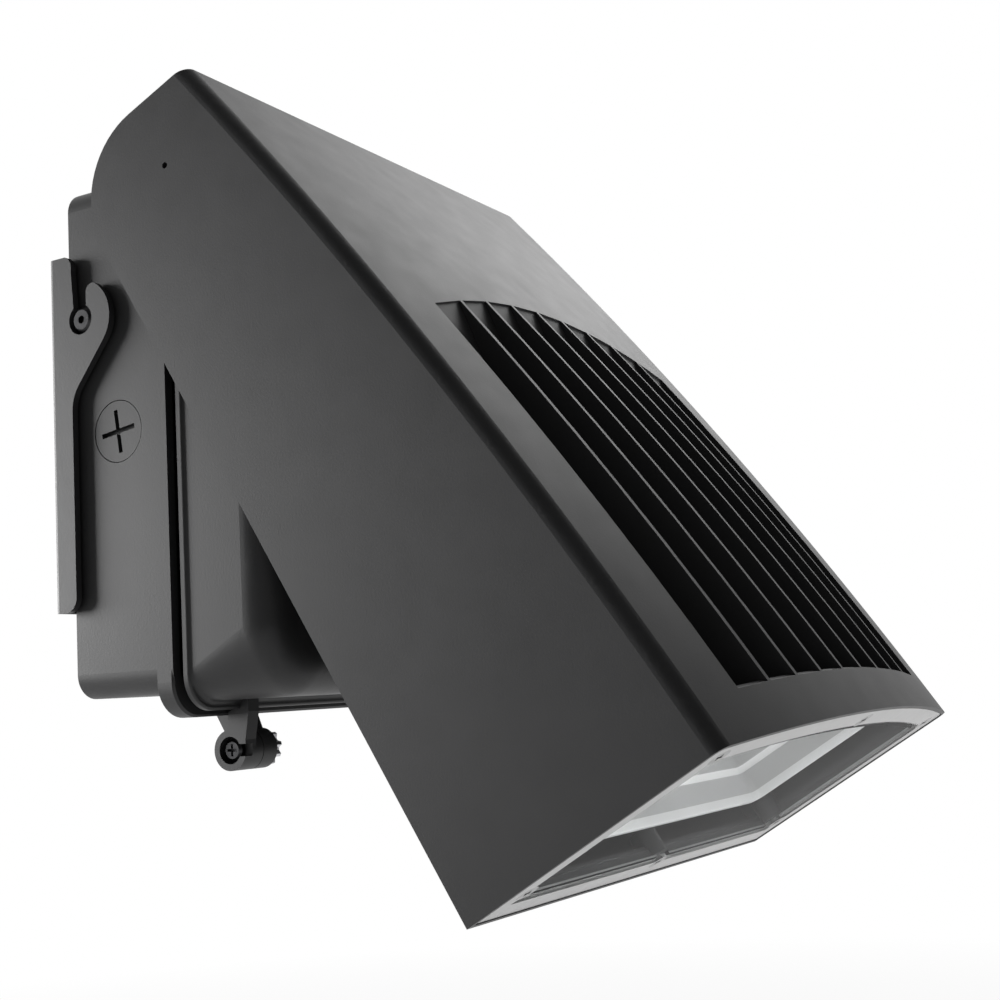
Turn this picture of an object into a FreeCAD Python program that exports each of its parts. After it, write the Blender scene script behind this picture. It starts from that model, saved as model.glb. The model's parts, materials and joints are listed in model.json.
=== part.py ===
"""Adjustable LED wall pack light: wall bracket, junction box, hinged cover and tilting finned head.

Frame: millimetres, +Z up, +X to the right seen from the room, the wall is the plane Y = 0 and the
room is at -Y. The origin lies on the wall, in the middle of the bracket and level with the conduit
entries. The head is drawn in its own frame (pivot at the origin, back edge upright, lens face
level) and then tilted to the angle in which the light is shown.
"""
import FreeCAD, Part
import math
import os
from FreeCAD import Placement, Rotation, Vector

# ---- wall bracket (folded steel) ----
BRACKET_PLATE = 2.5          # thickness of the plate on the wall
BRACKET_LEAF = 2.5           # thickness of the two side leaves
BRACKET_TOP = 64.6           # height of the leaf above the origin
BRACKET_BOTTOM = -61.0       # lower end of the leaf
BRACKET_FOOT = 9.0           # the plate runs on below the leaf by this much
BRACKET_LEG = 10.3           # how far the straight leg of the leaf stands off the wall
BRACKET_BEND = 2.0           # inner bend radius of the leaf
LOBE_RADIUS = 13.8           # hook lobe round the hook stud
LOBE_TIP = 60.0              # angle of the lobe's upper tip above the horizontal
SLOT_WIDTH = 5.8             # open hook slot above the stud
SLOT_FLARE = 1.3             # the back of the slot leans away by this much at the top
SLOT_CORNER = 5.5            # rounded corner at the top of the slot
STUD_HOLE = 10.8             # round seat at the foot of the hook slot
LEAF_CORNER = 5.0            # rounded lower front corner of the leaf
LEAF_GAP = 1.2               # leaf to the side of the box
WIRE_HOLE = 40.0             # opening in the plate for the supply wires
OUTLET_BOX_SPACING = 88.9    # screw slots for a round outlet box
OUTLET_SLOT_WIDTH = 5.0
OUTLET_SLOT_LENGTH = 12.0
ANCHOR_INSET = 21.0          # four holes for wall anchors, from the box sides
ANCHOR_UP = 90.0
ANCHOR_HOLE = 6.5

# ---- junction box (die-cast) ----
BOX_WIDTH = 202.0
BOX_BACK = 4.8               # clearance from the wall to the back of the box
BOX_TOP = 90.3
BOX_BOTTOM = -91.0
BOX_CORNER = 8.5
BOX_BACK_EDGE = 1.5          # bevel round the back of the box
BOX_WALL = 3.5
BOX_BACK_WALL = 4.0
SEAM = 50.0                  # distance from the wall to the front of the box flange
FLANGE_DEPTH = 7.0
FLANGE_DROP = 8.0            # the flange stands out below the box by this much
FLANGE_CORNER = 12.0
FLANGE_EDGE = 0.8            # bevel of the outer front edge of the flange
HUB_BORE = 21.9              # 1/2 inch conduit entry
HUB_OUTER = 30.6
HUB_LENGTH = 12.0
HUB_FROM_WALL = 28.0
REAR_ENTRY = 22.0            # wire hole in the back of the box
STUD_FROM_WALL = 15.0        # hook stud position, in the bracket seat
STUD_HEIGHT = 41.0
BOX_BOSS = 9.0               # cover screw bosses in the box
BOX_BOSS_INSET = 15.5
ENTRY_SEAL_OUTER = 62.0
ENTRY_SEAL_INNER = 48.0      # clear of the wire hole in the plate

# ---- cover (die-cast door) ----
COVER_DEPTH = 41.8           # cover front to the seam
COVER_SIDE_INSET = 1.0       # cover side inside the box side
COVER_TOP = 86.0
COVER_BOTTOM = -97.0
COVER_CORNER = 12.0
COVER_ROUND = 13.0           # rounding between the sides and the front
COVER_RIM = 2.6              # flat rim round the dome of the cover
RIM_ROUND = 1.0
DOME_SIDE = 0.8              # dome inside the rim at the sides and the top
DOME_DROP = 3.2              # and at the bottom
DOME_FOOT_CORNER = 10.0      # corner of the dome at the rim
DOME_CORNER = 30.0           # corner of the dome at its front
DOME_BLEND = 1.6             # hollow rounding between rim and dome
COVER_WALL = 3.0
NECK_INSET = 5.0             # the neck that makes the dark shadow line
NECK_DEPTH = 1.8
SEAL_THICK = 1.5
SEAL_WIDTH = 5.0
COVER_GAP = 0.3              # cover neck to the seal
COVER_BOSS = 13.0            # bosses of the captive screws
COVER_SCREW_SINK = 11.0      # screw seats below the cover front
COVER_BEVEL_START = 40.0     # above this height the cover front leans back, to clear the head
COVER_BEVEL = 12.0           # by this much at the top
HINGE_HEIGHT = -111.0
HINGE_DIAMETER = 14.0
HINGE_FROM_SEAM = 1.0        # hinge axis in front of the seam
HINGE_INSET = 26.0           # outer end of a hinge from the box side
HINGE_EYE = 9.4              # length of the outer eye, which belongs to the cover
HINGE_INNER_EYE = 7.2        # length of the inner eye, which belongs to the box
HINGE_GAP = 0.3
HINGE_BORE = 4.2
HINGE_ARM = 5.6              # thickness of the cover's hinge arm
HINGE_ARM_FRONT = 8.6        # its front at the rim, in front of the hinge axis
HINGE_ARM_FOOT = 6.9         # and at the eye
HINGE_GUSSET = 37.0          # back of the box's hinge arm, from the wall
HINGE_SLOT = 4.2             # height of the open slot in front of the screw head
HINGE_POCKET = 9.4           # pocket for the screw head
HINGE_POCKET_DEPTH = 3.6
NUT_RADIUS = 6.2             # toothed lock nut
NUT_TEETH = 9
NUT_THICK = 3.2

# ---- pivot between cover and head ----
PIVOT_FROM_WALL = 61.0
PIVOT_HEIGHT = 85.0
LUG_RADIUS = 9.8
LUG_INSET = 2.5              # outer end of a pivot lug inside the box side
LUG_LENGTH = 22.5
PIN_DIAMETER = 8.0
PIN_BORE = 4.5               # the pins are hollow, for the lamp leads
PIN_LENGTH = 24.0
PIN_CLEARANCE = 0.05
WASHER_THICK = 1.5
WASHER_OUTER = 18.0
WASHER_GAP = 0.15
PIN_SEAT_WALL = 1.6          # cheek left outside the end of the pin
KEY_HOLE = 2.2               # small hole in the cheek on the pivot axis
LOCK_SCREW = 4.0

# ---- head housing (die-cast), in the head frame ----
CHEEK_GAP = 5.4              # side of the box to the inside of a cheek
HEAD_TILT = 30.8             # tilt from lens straight down, as shown
BACK_OFFSET = 36.7           # pivot to the back edge
LENS_DROP = 265.5            # pivot to the lens face
LENS_DEPTH = 94.5            # lens face, front to back, at the sides
CREST_FRONT = 25.2           # crest (upper front edge) in front of the pivot
CREST_RISE = 22.7            # and above it
CHEEK_RADIUS = 30.0          # round upper back of the cheeks
CHEEK_CENTRE_DROP = 3.0      # centre of that round below the pivot
EDGE_BOW = 5.0               # lengthwise bow of the front at its sides
CROWN_AT_LENS = 11.0         # sideways crown of the front at the lens
CROWN_EXTRA = 2.5            # more crown half way up
EDGE_ROUND = 5.0             # rounding along both front edges
SIDE_WALL = 3.6
FRONT_WALL = 4.0
TOP_WALL_END = 77.0          # angle at which the top wall ends, seen from the pivot, as shown
BULKHEAD_RISE = 50.0         # lens face to the lower side of the bulkhead
BULKHEAD = 4.0

# ---- fins in the front of the head ----
RECESS_MARGIN = 25.0         # side of the head to the recess
RECESS_START = 108.3         # upper end in the middle, from the crest along the front
RECESS_ARC = 12.4            # the upper end drops by this much towards the sides
RECESS_END = 273.5
RAMP_FALL = 0.28             # fall of the straight ramp, per length
RAMP_STEP = 0.8              # step at the upper end of the ramp
LIP_BEVEL = 2.0              # bevel of the lower lip, which the fins run across
RECESS_FLOOR = 7.5           # below the flat front plane, at the foot of the ramp
RECESS_FLOOR_END = 14.0      # and at the lower end
FLOOR_WALL = 2.5
FIN_COUNT = 8
FIN_TIP = 1.5
FIN_ROOT = 2.6

# ---- lens end ----
RIM = 1.6                    # housing rim round the lens
LENS_THICK = 3.6
LENS_FIT = 0.25
LENS_RECESS = 0.3            # lens face behind the rim
LENS_SEAL = 1.2
LEDGE_WIDTH = 11.0
LEDGE_THICK = 4.0
LENS_SCREW_SIDE = 11.0       # corner screws from the side of the head
LENS_SCREW_FRONT = 6.5       # corner screws from the front edge of the lens face
LENS_SCREW_BACK = 78.0
LENS_SCREW_MID_FRONT = -3.5
LENS_SCREW_MID_BACK = 84.5
LENS_SCREW_THREAD = 4.0
LENS_SCREW_HEAD = 7.4
LENS_SCREW_LENGTH = 12.0
LENS_BOSS = 10.0
LENS_BOSS_HEIGHT = 14.0
WINDOW_RIB = 2.0             # raised rib of the lens round the window, on the inside
WINDOW_RIB_HEIGHT = 3.0

# ---- light engine ----
BOARD_WIDTH = 150.0
BOARD_DEPTH = 44.0
BOARD_THICK = 1.6
LED_COLUMNS = 12
LED_ROWS = 4
LED_SIZE = 3.0
LED_THICK = 0.7
OPTIC_BASE = 1.6
OPTIC_PRISM = 7.0
OPTIC_RISE = 1.4
REFLECTOR_WALL = 1.2
REFLECTOR_RISE = 20.0        # mouth of the reflector above the lens face
REFLECTOR_RIM = 2.6          # flat rim round the mouth
REFLECTOR_STEP = 34.0        # height of the step in its walls above the lens face
REFLECTOR_STEP_WIDTH = 3.0   # width of that step
REFLECTOR_SHARE = 0.42       # how far the walls have closed in at the step
REFLECTOR_MOUTH_SIDE = 18.0  # mouth inside the lens face at the sides, clear of the lens bosses,
REFLECTOR_MOUTH_FRONT = 23.0 # at the front, clear of the fin recess,
REFLECTOR_MOUTH_BACK = 17.0  # and at the back
REFLECTOR_GAP = 1.0
BOARD_SCREW = 3.0
BOARD_SCREW_HEAD = 5.6

# ---- driver compartment ----
DRIVER_SIZE = (118.0, 30.0, 62.0)
DRIVER_HEIGHT = 28.0
DRIVER_FOOT = 10.0
STANDOFF = 3.0
TERMINAL_SIZE = (46.0, 16.0, 20.0)
TERMINAL_HEIGHT = -55.0
GROUND_SCREW_INSET = 31.0    # from the box side
GROUND_SCREW_HEIGHT = -55.0
COVER_SCREW = 5.0
COVER_SCREW_HEAD = 8.5

# ---- sizes that follow from the ones above ----
SIDE_X = BOX_WIDTH / 2
HEAD_WIDTH = BOX_WIDTH + 2 * (CHEEK_GAP + SIDE_WALL)
RECESS_WIDTH = HEAD_WIDTH - 2 * RECESS_MARGIN
HINGE_OUTER_X = SIDE_X - HINGE_INSET
LUG_OUTER_X = SIDE_X - LUG_INSET
LUG_INNER_X = LUG_OUTER_X - LUG_LENGTH
GROUND_SCREW_AT = (SIDE_X - GROUND_SCREW_INSET, GROUND_SCREW_HEIGHT)
CHEEK_X = HEAD_WIDTH / 2
CHEEK_INNER = CHEEK_X - SIDE_WALL
LEAF_INNER = SIDE_X + LEAF_GAP
LEAF_OUTER = LEAF_INNER + BRACKET_LEAF
SEAL_FACE = SEAM + SEAL_THICK
NECK_FACE = SEAL_FACE + COVER_GAP
COVER_BACK = NECK_FACE + NECK_DEPTH
COVER_FRONT = SEAM + COVER_DEPTH
COVER_X = SIDE_X - COVER_SIDE_INSET
HINGE_Y = -(SEAM + HINGE_FROM_SEAM)
CHEEK_BOSS_X = LUG_OUTER_X + 2 * WASHER_GAP + WASHER_THICK
LENS_FRONT = BACK_OFFSET - LENS_DEPTH          # front edge of the lens face, head frame
PIVOT = Vector(0, -PIVOT_FROM_WALL, PIVOT_HEIGHT)
HEAD_PLACE = Placement(PIVOT, Rotation(Vector(1, 0, 0), -HEAD_TILT))
OVER = 1.0                   # cutters run past a face by this much
FAR = 150.0                  # beyond the head on any side


# ---------------------------------------------------------------- general helpers
def plate(width, bottom, top, corner, near, deep):
    """Rounded slab seen from the front: from `near` off the wall, `deep` thick towards the room."""
    half = width / 2
    wire = rounded_outline(half, bottom, top, corner, -near)
    return Part.Face(wire).extrude(Vector(0, -deep, 0))


def rounded_outline(half, bottom, top, radius, y):
    """Rounded rectangle in the plane Y = y."""
    middles = [(half, top), (-half, top), (-half, bottom), (half, bottom)]
    edges = []
    arcs = []
    for x, z in middles:
        sx = 1 if x > 0 else -1
        sz = 1 if z == top else -1
        centre = Vector(x - sx * radius, y, z - sz * radius)
        side = centre + Vector(sx * radius, 0, 0)
        end = centre + Vector(0, 0, sz * radius)
        mid = centre + Vector(sx, 0, sz) * (radius / math.sqrt(2))
        first, last = (side, end) if sx == sz else (end, side)
        arcs.append((first, mid, last))
    for index, (first, mid, last) in enumerate(arcs):
        edges.append(Part.Arc(first, mid, last).toShape())
        edges.append(Part.makeLine(last, arcs[(index + 1) % 4][0]))
    return Part.Wire(edges)


def rod(radius, start, end):
    """Round bar between two points."""
    axis = end.sub(start)
    return Part.makeCylinder(radius, axis.Length, start, axis)


def rod_x(radius, x0, x1, y, z):
    """Round bar along X."""
    return rod(radius, Vector(min(x0, x1), y, z), Vector(max(x0, x1), y, z))


def block(x0, x1, y0, y1, z0, z1):
    """Box between two corners."""
    return Part.makeBox(x1 - x0, y1 - y0, z1 - z0, Vector(x0, y0, z0))


def slot_plate(x, z, width, length, upright):
    """Cutter for a round-ended slot in the bracket plate."""
    run, half = (length - width) / 2, width / 2
    ends = []
    for sign in (-1, 1):
        if upright:
            trio = [(-half, sign * run), (0, sign * (run + half)), (half, sign * run)]
        else:
            trio = [(sign * run, -half), (sign * (run + half), 0), (sign * run, half)]
        ends.append([Vector(x + dx, OVER, z + dz) for dx, dz in trio])
    low, high = ends
    wire = Part.Wire([Part.Arc(*low).toShape(), Part.makeLine(low[2], high[2]),
                      Part.Arc(*reversed(high)).toShape(), Part.makeLine(high[0], low[0])])
    return Part.Face(wire).extrude(Vector(0, -BRACKET_PLATE - 2 * OVER, 0))


def mirrored(shape):
    """The same shape on the other side of the middle plane."""
    return shape.mirror(Vector(0, 0, 0), Vector(1, 0, 0))


def save(name, *solids):
    """Write one node."""
    pieces = []
    for shape in solids:
        pieces.extend(shape.Solids)
    for piece in pieces:
        if not piece.isValid():
            print("warning: not valid:", name)
    result = pieces[0] if len(pieces) == 1 else Part.makeCompound(pieces)
    result.exportStep("parts/%s.step" % name)
    print("%-24s solids %2d  volume %.0f" % (name, len(pieces), sum(p.Volume for p in pieces)))


# ---------------------------------------------------------------- wall bracket
def leaf_outline():
    """Side view of a bracket leaf: straight leg, S-curve and hook lobe with its flared slot."""
    stud = Vector(0, -STUD_FROM_WALL, STUD_HEIGHT)
    slot_back, slot_front = stud.y + SLOT_WIDTH / 2, stud.y - SLOT_WIDTH / 2
    tip_turn = math.radians(LOBE_TIP)
    tip = stud + Vector(0, -math.cos(tip_turn), math.sin(tip_turn)) * LOBE_RADIUS
    tip_foot = Vector(0, slot_front, tip.z - SLOT_WIDTH / 2)
    tip_mid = Vector(0, slot_front - 0.25 * (slot_front - tip.y), tip.z - 0.2 * SLOT_WIDTH / 2)
    half_turn = tip_turn / 2
    lobe_high = stud + Vector(0, -math.cos(half_turn), math.sin(half_turn)) * LOBE_RADIUS
    lobe_side = stud + Vector(0, -LOBE_RADIUS, 0)
    leave = math.radians(40.0)
    lobe_end = stud + Vector(0, -math.cos(leave), -math.sin(leave)) * LOBE_RADIUS
    lobe_low = stud + Vector(0, -math.cos(leave / 2), -math.sin(leave / 2)) * LOBE_RADIUS
    run_down = Vector(0, math.sin(leave), -math.cos(leave))
    reach = (-BRACKET_LEG - lobe_end.y - LOBE_RADIUS * (1 - math.cos(leave))) / math.sin(leave)
    bend_start = lobe_end + run_down * max(reach, 0.1)
    centre = bend_start + Vector(0, -math.cos(leave), -math.sin(leave)) * LOBE_RADIUS
    bend_end = centre + Vector(0, LOBE_RADIUS, 0)
    bend_mid = centre + Vector(0, math.cos(leave / 2), math.sin(leave / 2)) * LOBE_RADIUS
    low = Vector(0, -BRACKET_LEG, BRACKET_BOTTOM + LEAF_CORNER)
    corner = Vector(0, -BRACKET_LEG + LEAF_CORNER, BRACKET_BOTTOM + LEAF_CORNER)
    corner_mid = corner + Vector(0, -1, -1) * (LEAF_CORNER / math.sqrt(2))
    corner_end = Vector(0, corner.y, BRACKET_BOTTOM)
    top_back = Vector(0, 0, BRACKET_TOP)
    top_front = Vector(0, slot_back + SLOT_FLARE + SLOT_CORNER / 2, BRACKET_TOP)
    top_foot = Vector(0, slot_back + SLOT_FLARE, BRACKET_TOP - SLOT_CORNER)
    top_mid = Vector(0, (top_foot.y + top_front.y) / 2 - SLOT_CORNER * 0.1, BRACKET_TOP - SLOT_CORNER * 0.25)
    seat_back = Vector(0, slot_back, stud.z)
    seat_front = Vector(0, slot_front, stud.z)
    edges = [
        Part.makeLine(top_back, top_front), Part.Arc(top_front, top_mid, top_foot).toShape(),
        Part.makeLine(top_foot, seat_back), Part.makeLine(seat_back, seat_front),
        Part.makeLine(seat_front, tip_foot), Part.Arc(tip_foot, tip_mid, tip).toShape(),
        Part.Arc(tip, lobe_high, lobe_side).toShape(), Part.Arc(lobe_side, lobe_low, lobe_end).toShape(),
        Part.makeLine(lobe_end, bend_start), Part.Arc(bend_start, bend_mid, bend_end).toShape(),
        Part.makeLine(bend_end, low), Part.Arc(low, corner_mid, corner_end).toShape(),
        Part.makeLine(corner_end, Vector(0, 0, BRACKET_BOTTOM)),
        Part.makeLine(Vector(0, 0, BRACKET_BOTTOM), top_back),
    ]
    return Part.Wire(edges)


def bracket_leaf():
    """Right-hand leaf with the round seat for the hook stud."""
    face = Part.Face(leaf_outline())
    leaf = face.extrude(Vector(BRACKET_LEAF, 0, 0))
    leaf.translate(Vector(LEAF_INNER, 0, 0))
    seat = rod_x(STUD_HOLE / 2, LEAF_INNER - OVER, LEAF_OUTER + OVER, -STUD_FROM_WALL, STUD_HEIGHT)
    return leaf.cut(seat)


def wall_bracket():
    """Plate on the wall with two side leaves that the box hooks onto."""
    body = block(-LEAF_OUTER, LEAF_OUTER, -BRACKET_PLATE, 0, BRACKET_BOTTOM, BRACKET_TOP)
    foot = block(-SIDE_X + BOX_CORNER, SIDE_X - BOX_CORNER, -BRACKET_PLATE, 0,
                 BRACKET_BOTTOM - BRACKET_FOOT, BRACKET_BOTTOM)
    leaf = bracket_leaf()
    body = body.fuse([foot, leaf, mirrored(leaf)]).removeSplitter()
    corners = [e for e in body.Edges if abs(e.Length - (BRACKET_TOP - BRACKET_BOTTOM)) < 0.01
               and abs(abs(e.CenterOfMass.x) - LEAF_OUTER) < 0.01 and abs(e.CenterOfMass.y) < 0.01]
    body = body.makeFillet(BRACKET_BEND, corners)
    cuts = [rod(WIRE_HOLE / 2, Vector(0, OVER, 0), Vector(0, -BRACKET_PLATE - OVER, 0))]
    for sign in (-1, 1):
        reach = sign * OUTLET_BOX_SPACING / 2
        cuts.append(slot_plate(reach, 0, OUTLET_SLOT_WIDTH, OUTLET_SLOT_LENGTH, False))
        cuts.append(slot_plate(0, reach, OUTLET_SLOT_WIDTH, OUTLET_SLOT_LENGTH, True))
        for level in (-ANCHOR_UP / 2, ANCHOR_UP / 2):
            anchor = Vector(sign * (SIDE_X - ANCHOR_INSET), OVER, level)
            cuts.append(rod(ANCHOR_HOLE / 2, anchor, anchor - Vector(0, BRACKET_PLATE + 2 * OVER, 0)))
    return body.cut(cuts)


# ---------------------------------------------------------------- junction box
def conduit_hub(cut):
    """Right-hand conduit entry: inner boss, or its bore."""
    y = -HUB_FROM_WALL
    if cut:
        return rod_x(HUB_BORE / 2, SIDE_X - HUB_LENGTH - OVER, SIDE_X + OVER, y, 0)
    return rod_x(HUB_OUTER / 2, SIDE_X - HUB_LENGTH, SIDE_X - BOX_WALL / 2, y, 0)


def cover_screw_places():
    """Upper corners, where the captive screws hold the cover shut."""
    x = SIDE_X - NECK_INSET - SEAL_WIDTH - BOX_BOSS_INSET
    z = COVER_TOP - NECK_INSET - SEAL_WIDTH - BOX_BOSS
    return [(-x, z), (x, z)]


def hinge_eye(x0, x1):
    """One eye of the cover hinge."""
    return rod_x(HINGE_DIAMETER / 2, x0, x1, HINGE_Y, HINGE_HEIGHT)


def box_hinge_arm():
    """Right-hand inner hinge eye with its gusset under the box."""
    x1 = HINGE_OUTER_X - HINGE_EYE - HINGE_GAP
    x0 = x1 - HINGE_INNER_EYE
    radius = HINGE_DIAMETER / 2
    flange_foot = BOX_BOTTOM - FLANGE_DROP
    front = -SEAM + HINGE_GAP
    arm = profile_x([(-HINGE_GUSSET, BOX_BOTTOM + OVER), (front, BOX_BOTTOM + OVER), (front, flange_foot),
                     (HINGE_Y - radius / 2, HINGE_HEIGHT), (HINGE_Y + radius - 0.1, HINGE_HEIGHT),
                     (-HINGE_GUSSET, flange_foot)], x0, x1)
    body = arm.fuse(hinge_eye(x0, x1))
    return body.cut(rod_x(HINGE_BORE / 2, x0 - OVER, x1 + OVER, HINGE_Y, HINGE_HEIGHT))


def profile_x(points, x0, x1):
    """Polygon in the side view, extruded along X."""
    corners = [Vector(x0, y, z) for y, z in points]
    wire = Part.makePolygon(corners + [corners[0]])
    return Part.Face(wire).extrude(Vector(x1 - x0, 0, 0))


def junction_box():
    """Die-cast box with conduit hubs, cover bosses, front flange and hinge eyes."""
    depth = SEAM - BOX_BACK
    body = plate(BOX_WIDTH, BOX_BOTTOM, BOX_TOP, BOX_CORNER, BOX_BACK, depth)
    flange_bottom = BOX_BOTTOM - FLANGE_DROP
    back_rim = [e for e in body.Edges if abs(e.BoundBox.YMax + BOX_BACK) < 0.01 and e.BoundBox.YLength < 0.01]
    body = body.makeChamfer(BOX_BACK_EDGE, back_rim)
    flange = plate(BOX_WIDTH, flange_bottom, BOX_TOP, FLANGE_CORNER, SEAM - FLANGE_DEPTH, FLANGE_DEPTH)
    flange = flange.makeChamfer(FLANGE_EDGE, front_rim(flange, SEAM))
    body = body.fuse(flange)
    hollow = plate(BOX_WIDTH - 2 * BOX_WALL, BOX_BOTTOM + BOX_WALL, BOX_TOP - BOX_WALL,
                   BOX_CORNER - BOX_WALL, BOX_BACK + BOX_BACK_WALL, depth)
    body = body.cut(hollow)
    adds = []
    for x, z in cover_screw_places():
        adds.append(rod(BOX_BOSS / 2, Vector(x, -BOX_BACK - OVER, z), Vector(x, -SEAM, z)))
    hub = conduit_hub(False)
    arm = box_hinge_arm()
    adds += [hub, mirrored(hub), arm, mirrored(arm)]
    for x, z in driver_screw_places():
        start = Vector(x, -BOX_BACK - OVER, z)
        adds.append(rod(4.0, start, Vector(x, -(BOX_BACK + BOX_BACK_WALL + STANDOFF), z)))
    x, z = GROUND_SCREW_AT
    adds.append(rod(5.0, Vector(x, -BOX_BACK - OVER, z), Vector(x, -ground_seat(), z)))
    body = body.fuse(adds).removeSplitter()
    bore = conduit_hub(True)
    cuts = [bore, mirrored(bore)]
    cuts.append(rod(REAR_ENTRY / 2, Vector(0, 0, 0), Vector(0, -BOX_BACK - BOX_BACK_WALL - OVER, 0)))
    for x, z in cover_screw_places():
        cuts.append(rod(COVER_SCREW / 2, Vector(x, -SEAM + 18.0, z), Vector(x, -SEAM - OVER, z)))
    for x, z in driver_screw_places():
        deep = BOX_BACK + BOX_BACK_WALL + STANDOFF
        cuts.append(rod(BOARD_SCREW / 2, Vector(x, -BOX_BACK - 1.5, z), Vector(x, -deep - OVER, z)))
    x, z = GROUND_SCREW_AT
    cuts.append(rod(BOARD_SCREW / 2, Vector(x, -BOX_BACK - 1.5, z), Vector(x, -ground_seat() - OVER, z)))
    stud = rod_x(2.5, SIDE_X - BOX_WALL - 6.0, SIDE_X + OVER, -STUD_FROM_WALL, STUD_HEIGHT)
    pad = rod_x(5.0, SIDE_X - BOX_WALL - 5.0, SIDE_X - BOX_WALL + 0.5, -STUD_FROM_WALL, STUD_HEIGHT)
    body = body.fuse([pad, mirrored(pad)])
    return body.cut(cuts + [stud, mirrored(stud)])


def ground_seat():
    """Distance from the wall to the top of the ground screw boss."""
    return BOX_BACK + BOX_BACK_WALL + STANDOFF


def conduit_plug():
    """Right-hand threaded plug, flush with the box side, with a crossed slot."""
    y = -HUB_FROM_WALL
    body = rod_x(HUB_BORE / 2 - 0.3, SIDE_X - HUB_LENGTH + 1.0, SIDE_X - 0.1, y, 0)
    hollow = rod_x(HUB_BORE / 2 - 3.0, SIDE_X - HUB_LENGTH, SIDE_X - 5.0, y, 0)
    arms = []
    for turn in (-8.0, 82.0):
        arm = block(SIDE_X - 2.2, SIDE_X + OVER, y - 7.6, y + 7.6, -0.85, 0.85)
        arm.rotate(Vector(SIDE_X, y, 0), Vector(1, 0, 0), turn)
        arms.append(arm)
    return body.cut([hollow] + arms)


def hook_stud():
    """Right-hand shoulder stud that hangs the box in the bracket seat."""
    y, z = -STUD_FROM_WALL, STUD_HEIGHT
    neck = rod_x(2.4, SIDE_X - BOX_WALL - 5.0, SIDE_X + 0.5, y, z)
    head = rod_x(4.6, SIDE_X + 0.1, LEAF_OUTER - 0.4, y, z)
    socket = rod_x(1.4, LEAF_OUTER - 2.4, LEAF_OUTER + OVER, y, z)
    ring = [e for e in head.Edges if abs(e.CenterOfMass.x - (LEAF_OUTER - 0.4)) < 0.01 and e.Length > 20]
    head = head.makeChamfer(1.1, ring)
    return neck.fuse(head).cut(socket)


def entry_seal():
    """Foam ring between the bracket plate and the back of the box, round the wires."""
    y0, y1 = -BOX_BACK, -BRACKET_PLATE
    outer = rod(ENTRY_SEAL_OUTER / 2, Vector(0, y1, 0), Vector(0, y0, 0))
    inner = rod(ENTRY_SEAL_INNER / 2, Vector(0, y1 + OVER, 0), Vector(0, y0 - OVER, 0))
    return outer.cut(inner)


def cover_seal():
    """Silicone ring on the front of the box flange."""
    half = COVER_X - NECK_INSET
    outer = plate(2 * half, COVER_BOTTOM + NECK_INSET, COVER_TOP - NECK_INSET,
                  COVER_CORNER - NECK_INSET, SEAM, SEAL_THICK)
    inset = half - SEAL_WIDTH
    inner = plate(2 * inset, COVER_BOTTOM + NECK_INSET + SEAL_WIDTH, COVER_TOP - NECK_INSET - SEAL_WIDTH,
                  COVER_CORNER - NECK_INSET - SEAL_WIDTH, SEAM - OVER, SEAL_THICK + 2 * OVER)
    return outer.cut(inner)


# ---------------------------------------------------------------- driver compartment
def driver_screw_places():
    """Two feet of the driver, left and right."""
    x = DRIVER_SIZE[0] / 2 + DRIVER_FOOT / 2
    return [(-x, DRIVER_HEIGHT), (x, DRIVER_HEIGHT)]


def led_driver():
    """Driver module with slotted feet, on stand-offs in the box."""
    back = -(BOX_BACK + BOX_BACK_WALL + STANDOFF)
    width, deep, high = DRIVER_SIZE
    case = block(-width / 2, width / 2, back - deep, back, DRIVER_HEIGHT - high / 2, DRIVER_HEIGHT + high / 2)
    edges = [e for e in case.Edges if abs(e.CenterOfMass.y - (back - deep)) < 0.01]
    case = case.makeFillet(2.5, edges)
    foot_x = width / 2 + DRIVER_FOOT
    foot = block(-foot_x, foot_x, back - 1.5, back, DRIVER_HEIGHT - 8.0, DRIVER_HEIGHT + 8.0)
    body = case.fuse(foot).removeSplitter()
    holes = []
    for x, z in driver_screw_places():
        holes.append(rod(BOARD_SCREW / 2 + 0.25, Vector(x, back + OVER, z), Vector(x, back - 1.5 - OVER, z)))
    return body.cut(holes)


def pan_screw(x, z, seat, length, thread, head):
    """Pan-head screw driven towards the wall, head seated at `seat` off the wall."""
    shank = rod(thread / 2 - 0.05, Vector(x, -seat + length, z), Vector(x, -seat - 0.5, z))
    cap = rod(head / 2, Vector(x, -seat, z), Vector(x, -seat - 2.2, z))
    rim = [e for e in cap.Edges if abs(e.CenterOfMass.y + seat + 2.2) < 0.01]
    cap = cap.makeChamfer(0.7, rim)
    body = shank.fuse(cap)
    cross = [block(x - 1.6, x + 1.6, -seat - 2.2 - OVER, -seat - 1.1, z - 0.4, z + 0.4),
             block(x - 0.4, x + 0.4, -seat - 2.2 - OVER, -seat - 1.1, z - 1.6, z + 1.6)]
    return body.cut(cross)


def driver_screws():
    """Screws through the driver feet."""
    seat = BOX_BACK + BOX_BACK_WALL + STANDOFF + 1.5
    return [pan_screw(x, z, seat, 6.0, BOARD_SCREW, BOARD_SCREW_HEAD) for x, z in driver_screw_places()]


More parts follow.
